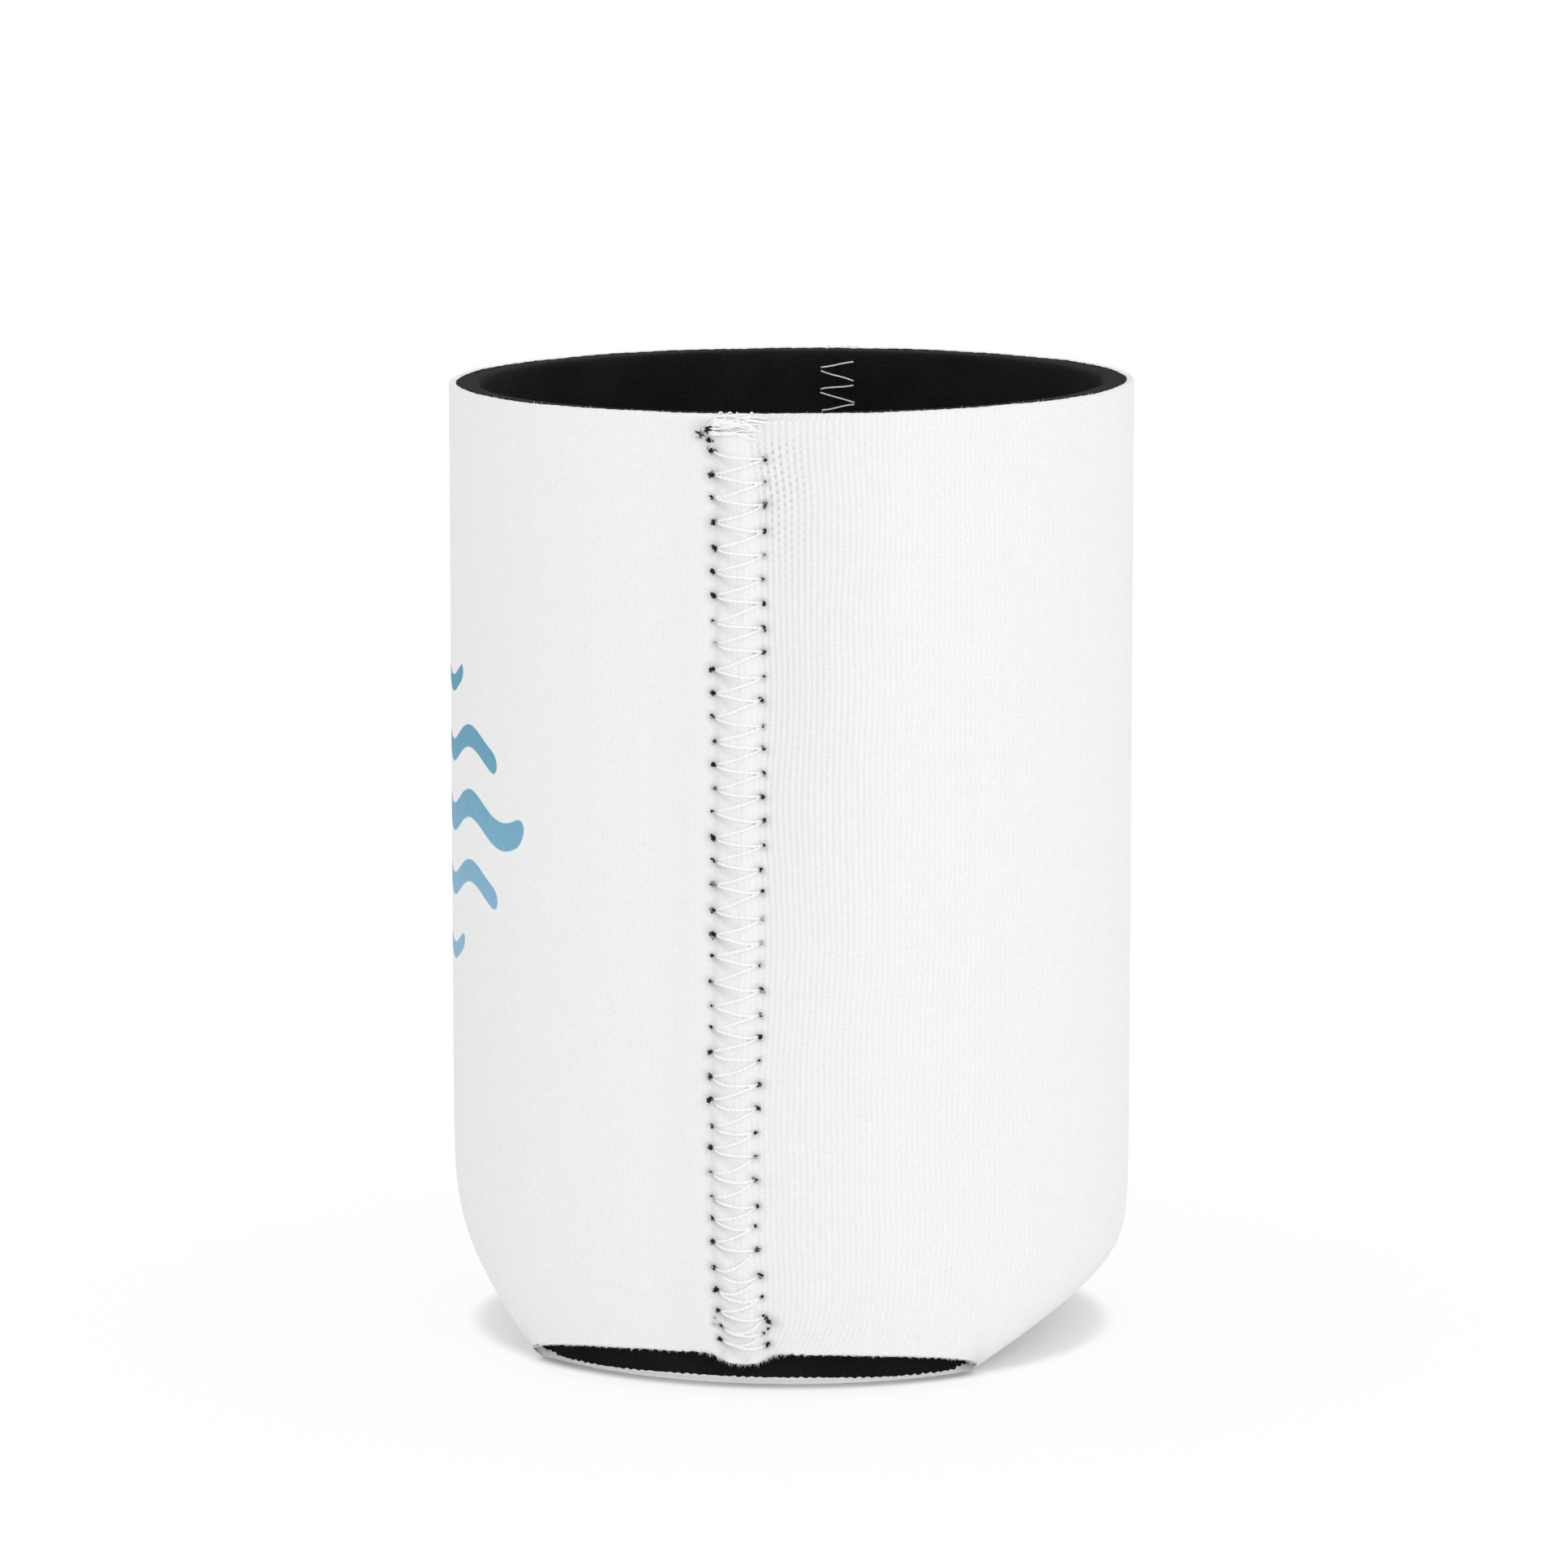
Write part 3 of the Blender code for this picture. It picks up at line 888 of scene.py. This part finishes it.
def add_backtack(surface, seam):
    """Strands sewn over each other at the top of a seam: some cross it, others go over the edge."""
    rng = np.random.default_rng(seam["seed"] + 300)
    for index in range(17):
        low = HEIGHT - 2.2 + 0.115 * index + rng.uniform(-0.15, 0.15)
        end = (rng.uniform(0.6, 3.3), low + rng.uniform(-0.9, 0.35))
        stations = [
            (-2.95 + rng.uniform(-0.25, 0.45), low * 0.8 + (HEIGHT - 1.8) * 0.2, -0.7),
            (-2.3, low + 0.05, 0.02),
            (-0.9, low + rng.uniform(-0.15, 0.3), 0.10 * rng.uniform(0, 1)),
            ((end[0] - 0.9) / 2, (low + end[1]) / 2 + rng.uniform(0.0, 0.4), 0.08),
            (end[0], end[1], 0.0),
            (end[0] + 0.35, end[1] - 0.15, -0.6),
        ]
        line = through(stations, 6)
        line[:, 1] = np.minimum(line[:, 1], HEIGHT - 0.12)
        size = THREAD * rng.uniform(0.24, 0.42)
        tube(surface, thread_centres(seam, line, True), size, sides=5)
    for cross, slant in ((-2.0, 1.5), (-1.1, 2.1), (0.1, -0.7), (1.3, 1.1)):
        low = HEIGHT - 1.5 + rng.uniform(-0.3, 0.3)
        stations = [
            (cross - slant * 0.8, low, -0.4),
            (cross - slant * 0.3, low + 0.6, 0.06),
            (cross, HEIGHT - 0.30, 0.06),
            (cross + slant * 0.12, HEIGHT + 0.02, -0.35),
            (cross + slant * 0.20, HEIGHT - 0.02, -0.85),
            (cross + slant * 0.24, HEIGHT - 0.55, -1.25),
        ]
        size = THREAD * rng.uniform(0.24, 0.36)
        tube(surface, thread_centres(seam, through(stations, 5), True), size, sides=5)


# Materials


class Field:
    """A number in a material, with arithmetic that adds Math nodes."""

    def __init__(self, tree, socket):
        self.tree = tree
        self.socket = socket

    def math(self, operation, other=None, third=None):
        """The result of a Math node, whose other inputs are numbers or fields."""
        node = self.tree.nodes.new("ShaderNodeMath")
        node.operation = operation
        for index, value in enumerate((self, other, third)):
            if isinstance(value, Field):
                self.tree.links.new(value.socket, node.inputs[index])
            elif value is not None:
                node.inputs[index].default_value = value
        return Field(self.tree, node.outputs[0])

    def __add__(self, other):
        return self.math("ADD", other)

    def __sub__(self, other):
        return self.math("SUBTRACT", other)

    def __mul__(self, other):
        return self.math("MULTIPLY", other)

    def wave(self):
        """Cosine of a count of turns, from 0 to 1."""
        return (self * (2 * math.pi)).math("COSINE").math("MULTIPLY_ADD", 0.5, 0.5)

    def step(self, low, high):
        """0 below low and 1 above high, with a smooth rise; low may be the larger."""
        node = self.tree.nodes.new("ShaderNodeMapRange")
        node.interpolation_type = "SMOOTHSTEP"
        self.tree.links.new(self.socket, node.inputs["Value"])
        values = (min(low, high), max(low, high), float(low > high), float(low < high))
        for name, value in zip(("From Min", "From Max", "To Min", "To Max"), values):
            node.inputs[name].default_value = value
        return Field(self.tree, node.outputs["Result"])


def new_material(name, color, roughness, specular=0.5, sheen=0.0):
    """A material with its shader's plain values set, its node tree and its shader."""
    material = bpy.data.materials.new(name)
    material.use_nodes = True
    shader = material.node_tree.nodes["Principled BSDF"]
    shader.inputs["Base Color"].default_value = (*color, 1.0)
    shader.inputs["Roughness"].default_value = roughness
    shader.inputs["Specular IOR Level"].default_value = specular
    shader.inputs["Sheen Weight"].default_value = sheen
    material.diffuse_color = (*color, 1.0)
    return material, material.node_tree, shader


def noise(tree, scale, detail=2.0, coordinates=None):
    """A noise texture's value over the object."""
    node = tree.nodes.new("ShaderNodeTexNoise")
    node.inputs["Scale"].default_value = scale
    node.inputs["Detail"].default_value = detail
    if coordinates is None:
        coordinates = tree.nodes.new("ShaderNodeTexCoord").outputs["Object"]
    tree.links.new(coordinates, node.inputs["Vector"])
    return Field(tree, node.outputs["Fac"])


def mix_colors(tree, share, first, second):
    """A colour between two others, each a colour or a socket."""
    node = tree.nodes.new("ShaderNodeMix")
    node.data_type = "RGBA"
    tree.links.new(share.socket, node.inputs["Factor"])
    for value, socket in ((first, node.inputs["A"]), (second, node.inputs["B"])):
        if isinstance(value, tuple):
            socket.default_value = (*value, 1.0)
        else:
            tree.links.new(value, socket)
    return node.outputs["Result"]


def scale_color(tree, color, share):
    """A colour made darker or lighter by a number."""
    node = tree.nodes.new("ShaderNodeVectorMath")
    node.operation = "SCALE"
    tree.links.new(color, node.inputs[0])
    tree.links.new(share.socket, node.inputs["Scale"])
    return node.outputs[0]


def bump(tree, shader, height, distance, strength=1.0):
    """A fine relief on a shader."""
    node = tree.nodes.new("ShaderNodeBump")
    node.inputs["Strength"].default_value = strength
    node.inputs["Distance"].default_value = distance
    tree.links.new(height.socket, node.inputs["Height"])
    tree.links.new(node.outputs["Normal"], shader.inputs["Normal"])


def attribute(tree, name):
    """A number painted on the mesh."""
    node = tree.nodes.new("ShaderNodeAttribute")
    node.attribute_name = name
    return Field(tree, node.outputs["Fac"])


# The materials' own measures, in millimetres of the cloth.
WALE_PITCH = 0.62
LOOP_PITCH = 0.48
DIAGONAL_PITCH = 1.05
OPENING_PITCH = 0.82

# The print's waves: height above its middle, half width, and reach to each side.
WAVES = (
    (14.4, 0.9, 17.0),
    (7.2, 1.2, 26.0),
    (0.0, 1.5, 31.0),
    (-7.2, 1.2, 26.0),
    (-14.4, 0.9, 17.0),
)
WAVE_LENGTH = 15.5
WAVE_SWING = 1.25
PRINT_HEIGHT = 33.0
PRINT_MIDDLE = float(-cloth_along(FRONT, np.array(57.0)))
PRINT_LOW_INK = (0.223, 0.456, 0.630)
PRINT_HIGH_INK = (0.069, 0.310, 0.445)


def wave_print(u, v):
    """Five thin wavy lines with round ends, and how far up the print a point is, from 0 to 1."""
    rise = v * -1.0 - PRINT_MIDDLE
    curve = (u * (2 * math.pi / WAVE_LENGTH)).math("SINE") * WAVE_SWING
    mask = None
    for level, width, reach in WAVES:
        past = (u.math("ABSOLUTE") - (reach - width)).math("MAXIMUM", 0.0)
        beside = rise - level - curve
        away = (past * past + beside * beside).math("SQRT")
        line = away.step(width + 0.08, width - 0.08)
        mask = line if mask is None else mask.math("MAXIMUM", line)
    front_only = v.step(-24.0, -25.0)
    return mask * front_only, (rise * (1 / PRINT_HEIGHT)).math("ADD", 0.5)


def knit_pattern(u, v, drift, grain, patch):
    """Tone, with painted shade in the grooves between the wales, and relief of the knit at a place
    in the cloth.
    """
    wale = (u + drift) * (1 / WALE_PITCH)
    groove = (wale.math("FRACT") - 0.5).math("ABSOLUTE")
    loop = (v * (1 / LOOP_PITCH) + groove * 1.1).wave()
    loops = groove.step(0.5, 0.12) * (loop * 0.45 + 0.55)
    side = u.math("ABSOLUTE")
    # painted shade in the grooves between the wales, and their relief: strongest on the back panel,
    # where the light grazes them, and beside the seams and towards the mouth
    beside_seam = side.step(38.0, 53.0) * side.step(54.9, 54.2)
    wale_shade_and_depth = beside_seam * (v.step(55.0, 105.0) * 0.34 + 0.20) + 0.14
    wale_shade_and_depth = wale_shade_and_depth * v.step(-1.0, 1.0) + 0.13
    diagonal = ((u * 0.6 + v) * (1 / DIAGONAL_PITCH)).wave()
    # painted shade: the grooves between the wales are darker
    tone = (loops - 1.0) * wale_shade_and_depth * 0.15 + 1.0
    tone = tone + (grain - 0.5) * 0.13 + (patch - 0.5) * 0.03 + (diagonal - 0.5) * 0.006
    # small openings between the wales where the top of a seam pulls on them
    pulled = side.step(48.0, 52.5) * side.step(54.2, 53.5)
    pulled = pulled * v.step(111.0, 124.0) * v.step(129.5, 128.0) * patch.step(0.25, 0.60)
    openings = (v * (1 / OPENING_PITCH) + wale * 0.5).wave() + (grain - 0.5) * 0.6
    tone = tone - pulled * groove.step(0.20, 0.44) * openings.step(0.45, 0.90) * 0.26
    return tone, loops * wale_shade_and_depth


def knit_material():
    """White knit: fine upright wales of loops, a soft print, stretched places by the seams, and
    painted shade.
    """
    made = new_material("white_knit_cloth", (0.86, 0.86, 0.865), 0.9, specular=0.25, sheen=0.05)
    material, tree, shader = made
    uv = tree.nodes.new("ShaderNodeUVMap")
    uv.uv_map = "cloth"
    split = tree.nodes.new("ShaderNodeSeparateXYZ")
    tree.links.new(uv.outputs["UV"], split.inputs[0])
    u = Field(tree, split.outputs["X"]) * (1 / MM)
    v = Field(tree, split.outputs["Y"]) * (1 / MM)
    drift = (noise(tree, 60.0, 1.0, uv.outputs["UV"]) - 0.5) * 1.6
    grain = noise(tree, 3000.0)
    tone, relief = knit_pattern(u, v, drift, grain, noise(tree, 420.0, 3.0))
    mask, rise = wave_print(u, v)
    ink = mix_colors(tree, rise.step(0.0, 1.0), PRINT_LOW_INK, PRINT_HIGH_INK)
    fade = noise(tree, 900.0) * 0.10 + 0.90
    cloth = mix_colors(tree, mask * fade, (0.865, 0.865, 0.868), ink)
    # grey: painted shade in the gutters, round the holes and under the stitches, with foam seen
    # through stretched skin; black: foam through the holes and tears, and painted shadow at the
    # foot
    grey_and_shade_share = (attribute(tree, "thin_and_shade") * (grain * 1.2 + 0.4)).math("MINIMUM", 1.0)
    cloth = mix_colors(tree, grey_and_shade_share, scale_color(tree, cloth, tone), (0.30, 0.30, 0.31))
    ragged = attribute(tree, "hole_and_shadow") + (noise(tree, 3800.0) - 0.5) * 0.36
    ragged = ragged + (noise(tree, 1900.0, 1.0) - 0.5) * 0.40
    cloth = mix_colors(tree, ragged.step(0.38, 0.18), cloth, (0.014, 0.014, 0.015))
    tree.links.new(cloth, shader.inputs["Base Color"])
    bump(tree, shader, relief + grain * 0.5, 0.00006)
    return material


def foam_material():
    """Black foam rubber: a fine open grain, a little greyer in patches."""
    made = new_material("black_foam_rubber", (0.005, 0.005, 0.0055), 0.85, specular=0.15)
    material, tree, shader = made
    cells = tree.nodes.new("ShaderNodeTexVoronoi")
    cells.inputs["Scale"].default_value = 5200.0
    place_in_object = tree.nodes.new("ShaderNodeTexCoord").outputs["Object"]
    tree.links.new(place_in_object, cells.inputs["Vector"])
    grain = Field(tree, cells.outputs["Distance"])
    cloud = noise(tree, 160.0, 3.0)
    dust = (cloud * 0.9 + grain * 0.5).step(0.35, 1.05)
    color = mix_colors(tree, dust, (0.004, 0.004, 0.0045), (0.013, 0.013, 0.014))
    tree.links.new(color, shader.inputs["Base Color"])
    bump(tree, shader, grain + cloud * 0.6, 0.00010, 0.8)
    return material


def thread_material():
    """White polyester thread: bright, with a soft sheen and fine filaments."""
    made = new_material("white_polyester_thread", (0.90, 0.90, 0.895), 0.55, 0.4, sheen=0.25)
    material, tree, shader = made
    color = mix_colors(tree, noise(tree, 700.0), (0.92, 0.92, 0.92), (0.97, 0.97, 0.965))
    tree.links.new(color, shader.inputs["Base Color"])
    bump(tree, shader, noise(tree, 9000.0), 0.00003)
    return material


def fibre_material():
    """Loose fibres of the knit at its cut edges."""
    material, tree, shader = new_material("white_loose_fibre", (0.84, 0.84, 0.84), 0.8)
    color = mix_colors(tree, noise(tree, 1500.0, 1.0), (0.76, 0.76, 0.77), (0.90, 0.90, 0.90))
    tree.links.new(color, shader.inputs["Base Color"])
    return material


def lightened_edge_material():
    """The knit's cut edge, painted lighter than the knit against the shade under the wall, with
    yarn ends.
    """
    material, tree, shader = new_material("white_cut_edge_painted_lighter", (0.97, 0.97, 0.97), 0.9, 0.1)
    color = mix_colors(tree, noise(tree, 1800.0), (0.94, 0.94, 0.94), (0.99, 0.99, 0.99))
    tree.links.new(color, shader.inputs["Base Color"])
    return material


def floor_material():
    """Pale floor that keeps the sleeve's shadow and runs out to white."""
    material, tree, shader = new_material("pale_floor", (0.96, 0.96, 0.96), 0.9, specular=0.0)
    output = tree.nodes["Material Output"]
    spot = tree.nodes.new("ShaderNodeTexCoord").outputs["Object"]
    away = tree.nodes.new("ShaderNodeVectorMath")
    away.operation = "LENGTH"
    tree.links.new(spot, away.inputs[0])
    away = Field(tree, away.outputs["Value"])
    far = away.step(0.0325, 0.0355) * 0.86 + away.step(0.036, 0.100) * 0.14
    rays = tree.nodes.new("ShaderNodeLightPath").outputs
    seen = Field(tree, rays["Is Camera Ray"])
    for other in ("Is Glossy Ray", "Is Transmission Ray"):
        seen = seen.math("MAXIMUM", Field(tree, rays[other]))
    glow = tree.nodes.new("ShaderNodeEmission")
    glow.inputs["Color"].default_value = (1.0, 1.0, 1.0, 1.0)
    glow.inputs["Strength"].default_value = 1.0
    mix = tree.nodes.new("ShaderNodeMixShader")
    tree.links.new((far * seen).socket, mix.inputs["Fac"])
    tree.links.new(shader.outputs[0], mix.inputs[1])
    tree.links.new(glow.outputs[0], mix.inputs[2])
    tree.links.new(mix.outputs[0], output.inputs["Surface"])
    return material


# The room, the light and the camera

STAGE_RADIUS = 6.0
STAGE_CORNERS = 96
LIT_HEIGHT = 0.05

# The camera, as solved from the photograph, for a frame 1932 pixels wide.
SENSOR_WIDTH = 36.0
LENS = 171.6
CAMERA_AZIMUTH = math.radians(8.8)
CAMERA_PITCH = 8.79
CAMERA_DISTANCE = 0.792
CAMERA_HEIGHT = 0.1807
CAMERA_YAW = math.atan(9.2 / 9210)


def build_stage():
    """A round pale floor just under the sleeve."""
    data = bpy.data.meshes.new("floor")
    turns = np.linspace(0, 2 * math.pi, STAGE_CORNERS + 1)[:-1]
    ring = [(STAGE_RADIUS * math.cos(turn), STAGE_RADIUS * math.sin(turn), 0.0) for turn in turns]
    data.from_pydata(ring, [], [list(range(STAGE_CORNERS))])
    data.materials.append(floor_material())
    floor = bpy.data.objects.new("floor", data)
    floor.location.z = -0.00005
    bpy.context.scene.collection.objects.link(floor)


def add_softbox(name, azimuth, elevation, away, size, power):
    """A square area light that faces the middle of the sleeve."""
    data = bpy.data.lights.new(name, "AREA")
    data.shape = "RECTANGLE"
    data.size = size[0]
    data.size_y = size[1]
    data.energy = power
    light = bpy.data.objects.new(name, data)
    azimuth = math.radians(azimuth)
    elevation = math.radians(elevation)
    flat = away * math.cos(elevation)
    height = away * math.sin(elevation) + LIT_HEIGHT
    light.location = (flat * math.cos(azimuth), flat * math.sin(azimuth), height)
    light.rotation_euler = (math.pi / 2 - elevation, 0.0, azimuth + math.pi / 2)
    bpy.context.scene.collection.objects.link(light)


def build_light():
    """Even studio light: a pale room and two soft boxes."""
    world = bpy.data.worlds.new("studio")
    bpy.context.scene.world = world
    world.use_nodes = True
    tree = world.node_tree
    room = tree.nodes["Background"]
    room.inputs["Color"].default_value = (1.0, 1.0, 1.0, 1.0)
    room.inputs["Strength"].default_value = 0.92
    add_softbox("softbox_front", 20.0, 7.0, 1.5, (1.5, 0.8), 4.3)
    add_softbox("softbox_right", 80.0, 7.0, 1.5, (1.2, 0.8), 1.6)
    bpy.context.scene.view_settings.view_transform = "Standard"


def build_camera():
    """The photograph's camera: unrolled, looking a little down at the right seam."""
    data = bpy.data.cameras.new("camera")
    data.sensor_width = SENSOR_WIDTH
    data.lens = LENS
    data.clip_start = 0.05
    data.clip_end = 50.0
    camera = bpy.data.objects.new("camera", data)
    x = CAMERA_DISTANCE * math.cos(CAMERA_AZIMUTH)
    y = CAMERA_DISTANCE * math.sin(CAMERA_AZIMUTH)
    camera.location = (x, y, CAMERA_HEIGHT)
    heading = CAMERA_AZIMUTH + math.pi / 2 + CAMERA_YAW
    camera.rotation_euler = (math.radians(90 - CAMERA_PITCH), 0.0, heading)
    bpy.context.scene.collection.objects.link(camera)
    bpy.context.scene.camera = camera


# The length of the blank that the knit was cut to.
BLANK_LENGTH = float(cloth_along(BACK, HEIGHT) - cloth_along(FRONT, HEIGHT))


def build_sleeve():
    """All the sleeve's pieces."""
    thread = thread_material()
    knit = build_knit([knit_material(), fibre_material(), lightened_edge_material()])
    foam = build_foam([foam_material()])
    for side, seam in SEAMS.items():
        needle = build_thread(f"seam_thread_{side}", seam, True, thread, f"needle_thread_{side}")
        bobbin = build_thread(f"lining_thread_{side}", seam, False, thread, f"bobbin_thread_{side}")


build_camera()
build_stage()
build_light()
build_sleeve()
